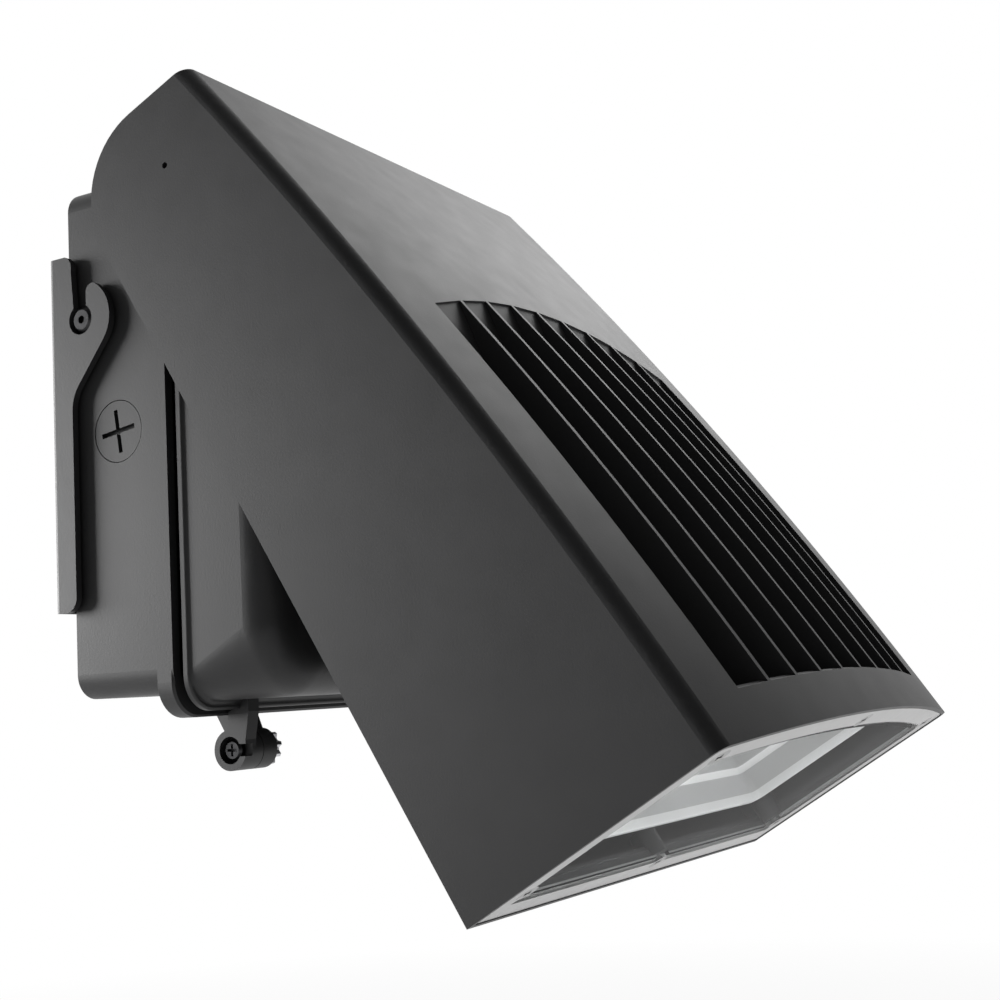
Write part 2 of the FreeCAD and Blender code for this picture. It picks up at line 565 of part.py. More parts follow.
def terminal_block():
    """Three-way terminal block on the back wall of the box."""
    width, deep, high = TERMINAL_SIZE
    back = -(BOX_BACK + BOX_BACK_WALL)
    body = block(-width / 2, width / 2, back - deep, back, TERMINAL_HEIGHT - high / 2,
                 TERMINAL_HEIGHT + high / 2)
    cuts = []
    pitch = width / 3
    for way in (-1, 0, 1):
        x = way * pitch
        cuts.append(rod(2.6, Vector(x, back - deep + 6.0, TERMINAL_HEIGHT),
                        Vector(x, back - deep - OVER, TERMINAL_HEIGHT)))
        for side in (-1, 1):
            z = TERMINAL_HEIGHT + side * high / 2
            cuts.append(rod(2.2, Vector(x, back - 6.0, z + side * OVER),
                            Vector(x, back - 6.0, z - side * 6.0)))
    for way in (-0.5, 0.5):
        x = way * pitch
        cuts.append(block(x - 0.6, x + 0.6, back - deep - OVER, back - deep + 9.0,
                          TERMINAL_HEIGHT - high / 2 - OVER, TERMINAL_HEIGHT + high / 2 + OVER))
    return body.cut(cuts)


def ground_screw():
    """Green bonding screw in the box."""
    x, z = GROUND_SCREW_AT
    return pan_screw(x, z, ground_seat(), 5.0, BOARD_SCREW, 7.0)


# ---------------------------------------------------------------- cover
def cover_hinge_arm():
    """Right-hand outer hinge eye on the cover: upright arm, pocket and front slot for the screw head."""
    x1 = HINGE_OUTER_X
    front_top, front_low = HINGE_Y - HINGE_ARM_FRONT, HINGE_Y - HINGE_ARM_FOOT
    back = -SEAM - 2 * HINGE_GAP
    rim_back = -COVER_BACK - OVER / 2
    inside = COVER_BOTTOM + DOME_DROP + COVER_WALL / 2
    arm = profile_x([(back, HINGE_HEIGHT), (back, COVER_BOTTOM - OVER), (rim_back, COVER_BOTTOM + OVER / 2),
                     (rim_back, inside), (front_top, inside), (front_top, COVER_BOTTOM - OVER),
                     (front_low, HINGE_HEIGHT + HINGE_DIAMETER / 4), (front_low, HINGE_HEIGHT)],
                    x1 - HINGE_ARM, x1)
    body = arm.fuse(hinge_eye(x1 - HINGE_EYE, x1))
    bore = rod_x(HINGE_BORE / 2, x1 - HINGE_EYE - OVER, x1 + OVER, HINGE_Y, HINGE_HEIGHT)
    pocket = rod_x(HINGE_POCKET / 2, x1 - HINGE_POCKET_DEPTH, x1 + OVER, HINGE_Y, HINGE_HEIGHT)
    slot = block(x1 - HINGE_POCKET_DEPTH, x1 + OVER, HINGE_Y - HINGE_DIAMETER, HINGE_Y,
                 HINGE_HEIGHT - HINGE_SLOT / 2, HINGE_HEIGHT + HINGE_SLOT / 2)
    return body.cut([bore, pocket, slot])


def pivot_lug():
    """Right-hand lug that carries the head."""
    return rod_x(LUG_RADIUS, LUG_INNER_X, LUG_OUTER_X, PIVOT.y, PIVOT.z)


def front_rim(body, front):
    """Edges round the flat front face of a slab."""
    return [e for e in body.Edges if abs(e.BoundBox.YMin + front) < 0.01 and e.BoundBox.YLength < 0.01]


def cover_lean(z):
    """How far the cover front leans back at a height."""
    return max(0.0, COVER_BEVEL * (z - COVER_BEVEL_START) / (COVER_TOP - COVER_BEVEL_START))


def dome(inset, back, front):
    """Rounded dome of the cover, shrunk by `inset`: its corners open out towards the front."""
    half = COVER_X - DOME_SIDE - inset
    bottom, top = COVER_BOTTOM + DOME_DROP + inset, COVER_TOP - DOME_SIDE - inset
    foot = rounded_outline(half, bottom, top, DOME_FOOT_CORNER - inset, -back)
    face = rounded_outline(half, bottom, top, DOME_CORNER - inset, -front)
    body = Part.makeLoft([foot, face], True, True)
    body = body.makeFillet(COVER_ROUND - inset, front_rim(body, front))
    return body.cut(lean_cutter(front))


def lean_cutter(front):
    """What the lean of the cover front takes off its upper end."""
    return profile_x([(-front, COVER_BEVEL_START), (-front + COVER_BEVEL, COVER_TOP),
                      (-front - OVER, COVER_TOP), (-front - OVER, COVER_BEVEL_START)],
                     -COVER_X - OVER, COVER_X + OVER)


def cover_hollow(back, front):
    """Hollow of the cover, with straight walls and the corners of the dome's front."""
    edge = DOME_SIDE + COVER_WALL
    body = plate(2 * (COVER_X - edge), COVER_BOTTOM + DOME_DROP + COVER_WALL, COVER_TOP - edge,
                 DOME_CORNER - COVER_WALL, back, front - back)
    body = body.makeFillet(COVER_ROUND - COVER_WALL, front_rim(body, front))
    return body.cut(lean_cutter(front))


def cover_shell():
    """Rim and dome of the cover in one, with the hollow rounding between them."""
    rim = plate(2 * COVER_X, COVER_BOTTOM, COVER_TOP, COVER_CORNER, COVER_BACK, COVER_RIM)
    rim = rim.makeFillet(RIM_ROUND, front_rim(rim, COVER_BACK + COVER_RIM))
    body = rim.fuse(dome(0, COVER_BACK + COVER_RIM / 2, COVER_FRONT))
    foot = [e for e in body.Edges if abs(e.BoundBox.YMin + COVER_BACK + COVER_RIM) < 0.01
            and e.BoundBox.YLength < 0.01 and abs(e.BoundBox.ZMin - COVER_BOTTOM - DOME_DROP) < 0.01
            and e.BoundBox.ZLength < 0.01]
    return body.makeFillet(DOME_BLEND, foot)


def cover_bosses():
    """Bosses inside the cover for the captive screws."""
    bosses = []
    for x, z in cover_screw_places():
        end = COVER_FRONT - cover_lean(z + COVER_BOSS / 2) - 0.2
        bosses.append(rod(COVER_BOSS / 2, Vector(x, -NECK_FACE, z), Vector(x, -end, z)))
    return bosses


def box_cover():
    """Hinged die-cast cover with a shadow-line neck, two pivot lugs and two hinge eyes."""
    neck = plate(2 * (COVER_X - NECK_INSET), COVER_BOTTOM + NECK_INSET, COVER_TOP - NECK_INSET,
                 COVER_CORNER - NECK_INSET, NECK_FACE, NECK_DEPTH + OVER)
    lug = pivot_lug()
    arm = cover_hinge_arm()
    body = cover_shell().fuse([neck, lug, mirrored(lug), arm, mirrored(arm)])
    deep = NECK_INSET + SEAL_WIDTH
    hollow = cover_hollow(COVER_BACK + COVER_WALL, COVER_FRONT - COVER_WALL)
    mouth = plate(2 * (COVER_X - deep), COVER_BOTTOM + deep, COVER_TOP - deep,
                  COVER_CORNER - deep, NECK_FACE - OVER, NECK_DEPTH + COVER_WALL + 2 * OVER)
    hollow = hollow.fuse(mouth).cut([lug, mirrored(lug)])
    body = body.cut(hollow).fuse(cover_bosses())
    bore = rod_x(PIN_DIAMETER / 2 + PIN_CLEARANCE, pin_start() - 0.2, LUG_OUTER_X + OVER, PIVOT.y, PIVOT.z)
    lead = rod_x(PIN_BORE / 2, LUG_INNER_X - OVER, pin_start() + OVER, PIVOT.y, PIVOT.z)
    facing = rod_x(LUG_RADIUS + 0.4, LUG_OUTER_X, COVER_X + OVER, PIVOT.y, PIVOT.z)
    cuts = [bore, mirrored(bore), lead, mirrored(lead), facing, mirrored(facing)]
    seat = COVER_FRONT - COVER_SCREW_SINK
    for x, z in cover_screw_places():
        cuts.append(rod(COVER_SCREW / 2 + 0.2, Vector(x, -NECK_FACE + OVER, z), Vector(x, -seat - OVER, z)))
        cuts.append(rod(COVER_SCREW_HEAD / 2 + 0.4, Vector(x, -seat, z), Vector(x, -COVER_FRONT - OVER, z)))
    return body.cut(cuts).removeSplitter()


def cover_screws():
    """Captive screws that hold the cover shut."""
    seat = COVER_FRONT - COVER_SCREW_SINK
    length = seat - SEAM + 12.0
    return [pan_screw(x, z, seat, length, COVER_SCREW - 0.2, COVER_SCREW_HEAD)
            for x, z in cover_screw_places()]


def hinge_screw():
    """Right-hand hinge screw, head in the pocket of the outer eye."""
    head_face = HINGE_OUTER_X - HINGE_POCKET_DEPTH
    end = HINGE_OUTER_X - HINGE_EYE - HINGE_INNER_EYE - 2 * HINGE_GAP - NUT_THICK - 2.0
    shank = rod_x(HINGE_BORE / 2 - 0.05, end, head_face + 0.5, HINGE_Y, HINGE_HEIGHT)
    head = rod_x(3.8, head_face, head_face + 2.6, HINGE_Y, HINGE_HEIGHT)
    rim = [e for e in head.Edges if abs(e.CenterOfMass.x - head_face - 2.6) < 0.01]
    head = head.makeChamfer(0.9, rim)
    top = head_face + 2.6
    cross = []
    for dy, dz in ((2.1, 0.45), (0.45, 2.1)):
        cross.append(block(top - 1.3, top + OVER, HINGE_Y - dy, HINGE_Y + dy,
                           HINGE_HEIGHT - dz, HINGE_HEIGHT + dz))
    return shank.fuse(head).cut(cross)


def hinge_nut():
    """Right-hand toothed lock nut at the inner end of the hinge."""
    x1 = HINGE_OUTER_X - HINGE_EYE - HINGE_INNER_EYE - 2 * HINGE_GAP
    corners = []
    for step in range(4 * NUT_TEETH):
        radius = NUT_RADIUS if step % 4 < 2 else NUT_RADIUS - 1.3
        angle = 2 * math.pi * (step + 0.3) / (4 * NUT_TEETH)
        corners.append(Vector(x1, HINGE_Y + radius * math.cos(angle),
                              HINGE_HEIGHT + radius * math.sin(angle)))
    body = Part.Face(Part.makePolygon(corners + [corners[0]])).extrude(Vector(-NUT_THICK, 0, 0))
    return body.cut(rod_x(HINGE_BORE / 2, x1 - NUT_THICK - OVER, x1 + OVER, HINGE_Y, HINGE_HEIGHT))


def pin_start():
    """Inner end of the right-hand pivot pin."""
    return CHEEK_X - PIN_SEAT_WALL - 0.2 - PIN_LENGTH


def pivot_pin():
    """Right-hand hollow pivot pin."""
    body = rod_x(PIN_DIAMETER / 2, pin_start(), pin_start() + PIN_LENGTH, PIVOT.y, PIVOT.z)
    return body.cut(rod_x(PIN_BORE / 2, pin_start() - OVER, CHEEK_X, PIVOT.y, PIVOT.z))


def pivot_washer():
    """Right-hand friction washer between lug and cheek boss."""
    x0 = LUG_OUTER_X + WASHER_GAP
    body = rod_x(WASHER_OUTER / 2, x0, x0 + WASHER_THICK, PIVOT.y, PIVOT.z)
    return body.cut(rod_x(PIN_DIAMETER / 2 + PIN_CLEARANCE, x0 - OVER, x0 + 2 * OVER + WASHER_THICK,
                          PIVOT.y, PIVOT.z))


# ---------------------------------------------------------------- head
def front_axes():
    """Crest point, direction down the front and outward normal, in the head frame."""
    crest = Vector(0, -CREST_FRONT, CREST_RISE)
    foot = Vector(0, LENS_FRONT, -LENS_DROP)
    along = foot.sub(crest)
    length = along.Length
    along.normalize()
    normal = Vector(0, along.z, -along.y)
    return crest, along, normal, length


def on_front(x, s, h):
    """Point given across, down the front from the crest, and out from the flat front plane."""
    crest, along, normal, _ = front_axes()
    return crest + Vector(x, 0, 0) + along * s + normal * h


def front_height(x, s):
    """Height of the crowned front above the flat plane through crest and lens edge."""
    length = front_axes()[3]
    t = s / length
    bow = 4 * EDGE_BOW * t * (1 - t)
    crown = CROWN_AT_LENS * t + 4 * CROWN_EXTRA * t * (1 - t)
    return bow + crown * (1 - (x / CHEEK_X) ** 2)


def front_section(s, inset_x, inset_h, smooth):
    """Closed section of the head across the front at distance s from the crest."""
    half = CHEEK_X - inset_x
    across = [half * k / 2 for k in (-2, -1, 0, 1, 2)]
    points = [on_front(x, s, front_height(x, s) - inset_h) for x in across]
    left_low = on_front(-half, s, -FAR)
    right_low = on_front(half, s, -FAR)
    if not smooth:
        return Part.makePolygon(points + [right_low, left_low, points[0]])
    curve = Part.BSplineCurve()
    curve.interpolate(points)
    edges = [curve.toShape(), Part.makeLine(points[-1], right_low),
             Part.makeLine(right_low, left_low), Part.makeLine(left_low, points[0])]
    return Part.Wire(edges)


def inner_form(inset_x, inset_h):
    """Like head_form, with flat facets, for the inside of the casting."""
    length = front_axes()[3]
    stations = [-20.0, length / 4, length / 2, length * 3 / 4, length + 20.0]
    return Part.makeLoft([front_section(s, inset_x, inset_h, False) for s in stations], True, True)


def head_form(inset_x, inset_h, corner):
    """Solid behind the crowned front, between the two side planes, shrunk by the insets."""
    length = front_axes()[3]
    stations = [-20.0, 0.0] + [length * k / 4 for k in (1, 2, 3, 4)] + [length + 20.0]
    form = Part.makeLoft([front_section(s, inset_x, inset_h, True) for s in stations], True, False)
    if corner > 0:
        half = CHEEK_X - inset_x
        edges = [e for e in form.Edges if e.BoundBox.ZLength > length * 0.9
                 and abs(abs(e.CenterOfMass.x) - half) < 0.01
                 and e.CenterOfMass.sub(on_front(e.CenterOfMass.x, length / 2, 0)).Length < 60.0]
        form = form.makeFillet(corner, edges)
    return form


def cheek_tangent():
    """Where the line from the crest touches the round of the cheek, with the cheek centre."""
    centre = Vector(0, BACK_OFFSET - CHEEK_RADIUS, -CHEEK_CENTRE_DROP)
    crest = Vector(0, -CREST_FRONT, CREST_RISE)
    span = centre.sub(crest)
    lift = math.asin(CHEEK_RADIUS / span.Length)
    base = math.atan2(span.z, span.y) + lift
    run = math.sqrt(span.Length ** 2 - CHEEK_RADIUS ** 2)
    return crest + Vector(0, math.cos(base), math.sin(base)) * run, centre


def head_side():
    """Side view of the head, running past the front so that the crowned form trims it."""
    crest, along, normal, length = front_axes()
    touch, centre = cheek_tangent()
    back_top = Vector(0, BACK_OFFSET, centre.z)
    start = math.atan2(touch.z - centre.z, touch.y - centre.y) / 2
    mid = centre + Vector(0, math.cos(start), math.sin(start)) * CHEEK_RADIUS
    back_foot = Vector(0, BACK_OFFSET, -LENS_DROP)
    front_foot = Vector(0, LENS_FRONT - FAR / 2, -LENS_DROP)
    top_dir = touch.sub(crest)
    top_dir.normalize()
    front_top = crest - top_dir * (FAR / 2)
    edges = [Part.makeLine(front_top, touch), Part.Arc(touch, mid, back_top).toShape(),
             Part.makeLine(back_top, back_foot), Part.makeLine(back_foot, front_foot),
             Part.makeLine(front_foot, front_top)]
    face = Part.Face(Part.Wire(edges))
    face.translate(Vector(-CHEEK_X, 0, 0))
    return face.extrude(Vector(HEAD_WIDTH, 0, 0))


def lens_slab(low, high, back_inset=0.0):
    """Everything between two heights above the lens face, in front of the back edge."""
    return block(-CHEEK_X, CHEEK_X, -FAR, BACK_OFFSET - back_inset, -LENS_DROP + low, -LENS_DROP + high)


def end_region(inset, low, high):
    """Outline of the lens end shrunk by `inset`, between two heights above the lens face."""
    corner = max(EDGE_ROUND - inset, 0.0)
    return head_form(inset, inset, corner).common(lens_slab(low, high, inset))


def upper_hollow():
    """Space behind the fins, open at the back, above the bulkhead."""
    touch, _ = cheek_tangent()
    crest = Vector(0, -CREST_FRONT, CREST_RISE)
    top_dir = touch.sub(crest)
    top_dir.normalize()
    inward = Vector(0, top_dir.z, -top_dir.y)
    start = crest + inward * FRONT_WALL
    ray = math.radians(TOP_WALL_END + HEAD_TILT)
    ray_dir = Vector(0, math.cos(ray), math.sin(ray))
    cross = top_dir.y * ray_dir.z - top_dir.z * ray_dir.y
    along = (-start.y * ray_dir.z + start.z * ray_dir.y) / cross
    corner = start + top_dir * along
    floor = -LENS_DROP + BULKHEAD_RISE + BULKHEAD
    points = [start - top_dir * (FAR / 2), corner, corner + ray_dir * FAR,
              Vector(0, FAR, FAR), Vector(0, FAR, floor), Vector(0, -FAR, floor)]
    wire = Part.makePolygon(points + [points[0]])
    face = Part.Face(wire)
    face.translate(Vector(-CHEEK_X, 0, 0))
    side = face.extrude(Vector(HEAD_WIDTH, 0, 0))
    return inner_form(SIDE_WALL, FRONT_WALL).common(side)


def recess_profile(x, grow):
    """Side view of the fin recess at one place across, grown by `grow` for the wall behind it."""
    start = RECESS_START + RECESS_ARC * (2 * x / RECESS_WIDTH) ** 2
    level = front_height(x, start) - RAMP_STEP - grow
    clear = EDGE_BOW + CROWN_AT_LENS + CROWN_EXTRA + 5.0
    back = start - (clear - level) / RAMP_FALL
    foot = start + (level + RECESS_FLOOR + grow) / RAMP_FALL
    end = RECESS_END + grow
    lip = front_height(x, RECESS_END) - LIP_BEVEL
    if grow > 0:
        first = [(back, clear)]
    else:
        first = [(start - OVER, clear), (start - OVER, level)]
    return first + [(foot, -RECESS_FLOOR - grow), (end, -RECESS_FLOOR_END - grow),
                    (end, lip), (end + clear - lip, clear)]


def fin_places():
    """Middle of each fin across the head."""
    pitch = RECESS_WIDTH / (FIN_COUNT + 1)
    return [(index + 1) * pitch - RECESS_WIDTH / 2 for index in range(FIN_COUNT)]


def recess_block(grow):
    """Recess as a solid across the front, its ramp following the crown, grown by `grow`."""
    half = RECESS_WIDTH / 2 + grow
    sections = []
    for x in [-half] + fin_places() + [half]:
        corners = [on_front(x, s, h) for s, h in recess_profile(x, grow)]
        sections.append(Part.makePolygon(corners + [corners[0]]))
    return Part.makeLoft(sections, True, True)


def fins():
    """Tapered fins across the recess."""
    result = []
    for x in fin_places():
        tip, root = FIN_TIP / 2, FIN_ROOT / 2
        section = []
        for offset, h in ((-root, -RECESS_FLOOR_END - OVER), (root, -RECESS_FLOOR_END - OVER),
                          (tip, EDGE_BOW + CROWN_AT_LENS), (-tip, EDGE_BOW + CROWN_AT_LENS)):
            section.append(on_front(x + offset, RECESS_START - 40.0, h))
        _, along, _, _ = front_axes()
        face = Part.Face(Part.makePolygon(section + [section[0]]))
        result.append(face.extrude(along * (RECESS_END - RECESS_START + 60.0)))
    return result


def lens_screw_places():
    """Across and front-to-back places of the lens screws, front-to-back in the head frame."""
    places = []
    for x in (LENS_SCREW_SIDE - CHEEK_X, CHEEK_X - LENS_SCREW_SIDE):
        places.append((x, LENS_FRONT + LENS_SCREW_FRONT))
        places.append((x, LENS_FRONT + LENS_SCREW_BACK))
    places.append((0.0, LENS_FRONT + LENS_SCREW_MID_FRONT))
    places.append((0.0, LENS_FRONT + LENS_SCREW_MID_BACK))
    return places


def cheek_boss():
    """Right-hand boss inside the cheek, round the pivot."""
    return rod_x(LUG_RADIUS, CHEEK_BOSS_X, CHEEK_X - SIDE_WALL / 2, 0, 0)


def rod_up(radius, x, y, low, high):
    """Round bar square to the lens face, between two heights above it."""
    return rod(radius, Vector(x, y, -LENS_DROP + low), Vector(x, y, -LENS_DROP + high))


def seat_height():
    """Height of the lens ledge above the lens face."""
    return LENS_RECESS + LENS_THICK + LENS_SEAL


def board_screw_places():
    """Corners of the light board."""
    x = BOARD_WIDTH / 2 - 5.0
    y0 = board_middle()
    dy = BOARD_DEPTH / 2 - 5.0
    return [(sx * x, y0 + sy * dy) for sx in (-1, 1) for sy in (-1, 1)]


def board_middle():
    """Front-to-back middle of the light board in the head frame."""
    return (LENS_FRONT + BACK_OFFSET) / 2 + 6.0


def head_housing():
    """Die-cast head: crowned front with fins, cheeks, bulkhead and lens ledge."""
    outer = head_form(0, 0, EDGE_ROUND).common(head_side())
    pan = recess_block(FLOOR_WALL)
    upper = upper_hollow().cut(pan)
    ledge = seat_height() + LEDGE_THICK
    lower = inner_form(SIDE_WALL, FRONT_WALL).common(lens_slab(ledge, BULKHEAD_RISE, SIDE_WALL)).cut(pan)
    window = end_region(LEDGE_WIDTH, -OVER, ledge + OVER)
    rebate = end_region(RIM, -OVER, seat_height())
    body = outer.cut([upper, lower, window, rebate])
    adds = []
    for x, y in lens_screw_places():
        adds.append(rod_up(LENS_BOSS / 2, x, y, seat_height(), LENS_BOSS_HEIGHT))
    boss = cheek_boss()
    adds += [boss, mirrored(boss)]
    inside = outer.common(inner_form(SIDE_WALL / 2, FRONT_WALL / 2))
    body = body.fuse([shape.common(inside) for shape in adds[:6]] + adds[6:])
    recess = recess_block(0).cut(fins())
    body = body.cut(recess)
    return body.cut(head_drillings()).removeSplitter()


def head_drillings():
    """Bores of the head: lens and board screws, pivot seats, key holes and lock screws."""
    cuts = []
    for x, y in lens_screw_places():
        cuts.append(rod_up(LENS_SCREW_THREAD / 2, x, y, seat_height() - OVER, LENS_SCREW_LENGTH + OVER))
    for x, y in board_screw_places():
        cuts.append(rod_up(BOARD_SCREW / 2, x, y, BULKHEAD_RISE - OVER, BULKHEAD_RISE + 3.0))
    seat = rod_x(PIN_DIAMETER / 2 + PIN_CLEARANCE, CHEEK_BOSS_X - OVER, CHEEK_X - PIN_SEAT_WALL, 0, 0)
    key = rod_x(KEY_HOLE / 2, CHEEK_X - SIDE_WALL, CHEEK_X + OVER, 0, 0)
    lock = rod(LOCK_SCREW / 2, lock_screw_line(0.0), lock_screw_line(LUG_RADIUS + OVER))
    for shape in (seat, key, lock):
        cuts += [shape, mirrored(shape)]
    return cuts


def lock_screw_line(distance):
    """Point on the right-hand lock screw's axis, in the head frame, from the pivot downwards."""
    x = (CHEEK_BOSS_X + CHEEK_INNER) / 2
    return Vector(x, 0, -distance)


def tilt_lock_screw():
    """Right-hand set screw through the cheek boss onto the pivot pin."""
    start = PIN_DIAMETER / 2 + PIN_CLEARANCE + 0.1
    body = rod(LOCK_SCREW / 2 - 0.05, lock_screw_line(start), lock_screw_line(LUG_RADIUS - 0.4))
    socket = rod(1.0, lock_screw_line(LUG_RADIUS - 2.4), lock_screw_line(LUG_RADIUS + OVER))
    return body.cut(socket)


def lens():
    """Clear cover plate with a rib round the window and countersunk screw holes."""
    low, high = LENS_RECESS, LENS_RECESS + LENS_THICK
    body = end_region(RIM + LENS_FIT, low, high)
    rib_out = end_region(LEDGE_WIDTH + 0.6, high - OVER, high + WINDOW_RIB_HEIGHT)
    rib_in = end_region(LEDGE_WIDTH + 0.6 + WINDOW_RIB, high - 2 * OVER, high + WINDOW_RIB_HEIGHT + OVER)
    body = body.fuse(rib_out.cut(rib_in))
    cuts = []
    for x, y in lens_screw_places():
        cuts.append(rod_up(LENS_BOSS / 2 + 0.3, x, y, high, high + WINDOW_RIB_HEIGHT + OVER))
        cuts.append(rod_up(LENS_SCREW_THREAD / 2 + 0.2, x, y, low - OVER, high + OVER))
        cuts.append(lens_screw_cone(x, y, 0.05))
    return body.cut(cuts).removeSplitter()


def lens_screw_cone(x, y, grow):
    """Countersunk head shape, face level with the lens."""
    height = (LENS_SCREW_HEAD - LENS_SCREW_THREAD) / 2
    base = Vector(x, y, -LENS_DROP + LENS_RECESS)
    return Part.makeCone(LENS_SCREW_HEAD / 2 + grow, LENS_SCREW_THREAD / 2 + grow, height, base)


def lens_screws():
    """Countersunk screws that hold the lens."""
    result = []
    for x, y in lens_screw_places():
        shank = rod_up(LENS_SCREW_THREAD / 2 - 0.05, x, y, LENS_RECESS + 1.0, LENS_SCREW_LENGTH)
        body = lens_screw_cone(x, y, 0.0).fuse(shank)
        z = -LENS_DROP + LENS_RECESS
        cross = [block(x - 1.7, x + 1.7, y - 0.45, y + 0.45, z - OVER, z + 1.2),
                 block(x - 0.45, x + 0.45, y - 1.7, y + 1.7, z - OVER, z + 1.2)]
        result.append(body.cut(cross))
    return result


def lens_seal():
    """Silicone ring between lens and ledge."""
    low, high = LENS_RECESS + LENS_THICK, seat_height()
    ring = end_region(RIM + LENS_FIT + 0.5, low, high)
    ring = ring.cut(end_region(LEDGE_WIDTH, low - OVER, high + OVER))
    radius = LENS_SCREW_THREAD / 2 + 0.5
    holes = [rod_up(radius, x, y, low - OVER, high + OVER) for x, y in lens_screw_places()]
    return ring.cut(holes)


def light_board():
    """Metal-core board under the bulkhead."""
    high = BULKHEAD_RISE
    y = board_middle()
    body = block(-BOARD_WIDTH / 2, BOARD_WIDTH / 2, y - BOARD_DEPTH / 2, y + BOARD_DEPTH / 2,
                 -LENS_DROP + high - BOARD_THICK, -LENS_DROP + high)
    holes = [rod_up(BOARD_SCREW / 2 + 0.2, x, yy, high - BOARD_THICK - OVER, high + OVER)
             for x, yy in board_screw_places()]
    return body.cut(holes)


def led_places():
    """Grid of light sources on the board."""
    dx = (BOARD_WIDTH - 24.0) / (LED_COLUMNS - 1)
    dy = (BOARD_DEPTH - 14.0) / (LED_ROWS - 1)
    places = []
    for column in range(LED_COLUMNS):
        for row in range(LED_ROWS):
            x = (column - (LED_COLUMNS - 1) / 2) * dx
            y = board_middle() + (row - (LED_ROWS - 1) / 2) * dy
            places.append((x, y))
    return places


def led_chips():
    """Small square light sources."""
    top = -LENS_DROP + BULKHEAD_RISE - BOARD_THICK
    half = LED_SIZE / 2
    return [block(x - half, x + half, y - half, y + half, top - LED_THICK, top) for x, y in led_places()]


def optic_plate():
    """Moulded lens array over the light sources."""
    top = BULKHEAD_RISE - BOARD_THICK - LED_THICK
    y = board_middle()
    half_x, half_y = BOARD_WIDTH / 2 - 9.0, BOARD_DEPTH / 2 - 1.0
    base = block(-half_x, half_x, y - half_y, y + half_y, -LENS_DROP + top - OPTIC_BASE, -LENS_DROP + top)
    corners = [e for e in base.Edges if abs(e.Length - OPTIC_BASE) < 0.01]
    base = base.makeChamfer(2.0, corners)
    half, low = OPTIC_PRISM / 2, -LENS_DROP + top - OPTIC_BASE
    prisms = [block(x - half, x + half, yy - half, yy + half, low - OPTIC_RISE, low)
              for x, yy in led_places()]
    return base.fuse(prisms)


def board_screws():
    """Hexagon screws at the corners of the board."""
    seat = BULKHEAD_RISE - BOARD_THICK
    result = []
    for x, y in board_screw_places():
        shank = rod_up(BOARD_SCREW / 2 - 0.05, x, y, seat - 0.5, BULKHEAD_RISE + 2.6)
        corners = [Vector(x + BOARD_SCREW_HEAD / 2 * math.cos(math.radians(60 * step)),
                          y + BOARD_SCREW_HEAD / 2 * math.sin(math.radians(60 * step)),
                          -LENS_DROP + seat - 2.0) for step in range(6)]
        head = Part.Face(Part.makePolygon(corners + [corners[0]])).extrude(Vector(0, 0, 2.0))
        result.append(shank.fuse(head))
    return result


def reflector_ring(height, share, grow):
    """Rectangle round the light path: share 0 is the board, 1 the mouth; grown by `grow`."""
    middle = board_middle()
    near_x, far_x = BOARD_WIDTH / 2 + REFLECTOR_GAP, CHEEK_X - REFLECTOR_MOUTH_SIDE
    front = (middle - BOARD_DEPTH / 2 - REFLECTOR_GAP, LENS_FRONT + REFLECTOR_MOUTH_FRONT)
    back = (middle + BOARD_DEPTH / 2 + REFLECTOR_GAP, BACK_OFFSET - REFLECTOR_MOUTH_BACK)
    x = near_x + (far_x - near_x) * share + grow
    y0 = front[0] + (front[1] - front[0]) * share - grow
    y1 = back[0] + (back[1] - back[0]) * share + grow
    z = -LENS_DROP + height
    return Part.makePolygon([Vector(-x, y0, z), Vector(x, y0, z), Vector(x, y1, z), Vector(-x, y1, z),
                             Vector(-x, y0, z)])


def reflector():
    """White stepped frame from the board to its flat rim above the lens."""
    top, step, low = BULKHEAD_RISE - 0.3, REFLECTOR_STEP, REFLECTOR_RISE
    outer = inner = None
    for grow in (REFLECTOR_WALL, 0.0):
        upper = Part.makeLoft([reflector_ring(top, 0, grow), reflector_ring(step, REFLECTOR_SHARE, grow)],
                              True, True)
        lower = Part.makeLoft([reflector_ring(step + grow, REFLECTOR_SHARE, REFLECTOR_STEP_WIDTH + grow),
                               reflector_ring(low, 1, grow)], True, True)
        outer, inner = (upper.fuse(lower), inner) if grow else (outer, upper.fuse(lower))
    rim = Part.Face(reflector_ring(low, 1, REFLECTOR_RIM)).extrude(Vector(0, 0, REFLECTOR_WALL))
    opening = Part.Face(reflector_ring(low, 1, 0)).extrude(Vector(0, 0, REFLECTOR_WALL))
    return outer.fuse(rim).cut([inner, opening])


def tilted(shapes):
    """Head-frame shapes moved to their place on the light."""
    moved = []
    for shape in shapes:
        copy = shape.copy()
        copy.Placement = HEAD_PLACE.multiply(copy.Placement)
        moved.append(copy)
    return moved


def pair(shape):
    """A piece and its mirror image."""
    return [shape, mirrored(shape)]


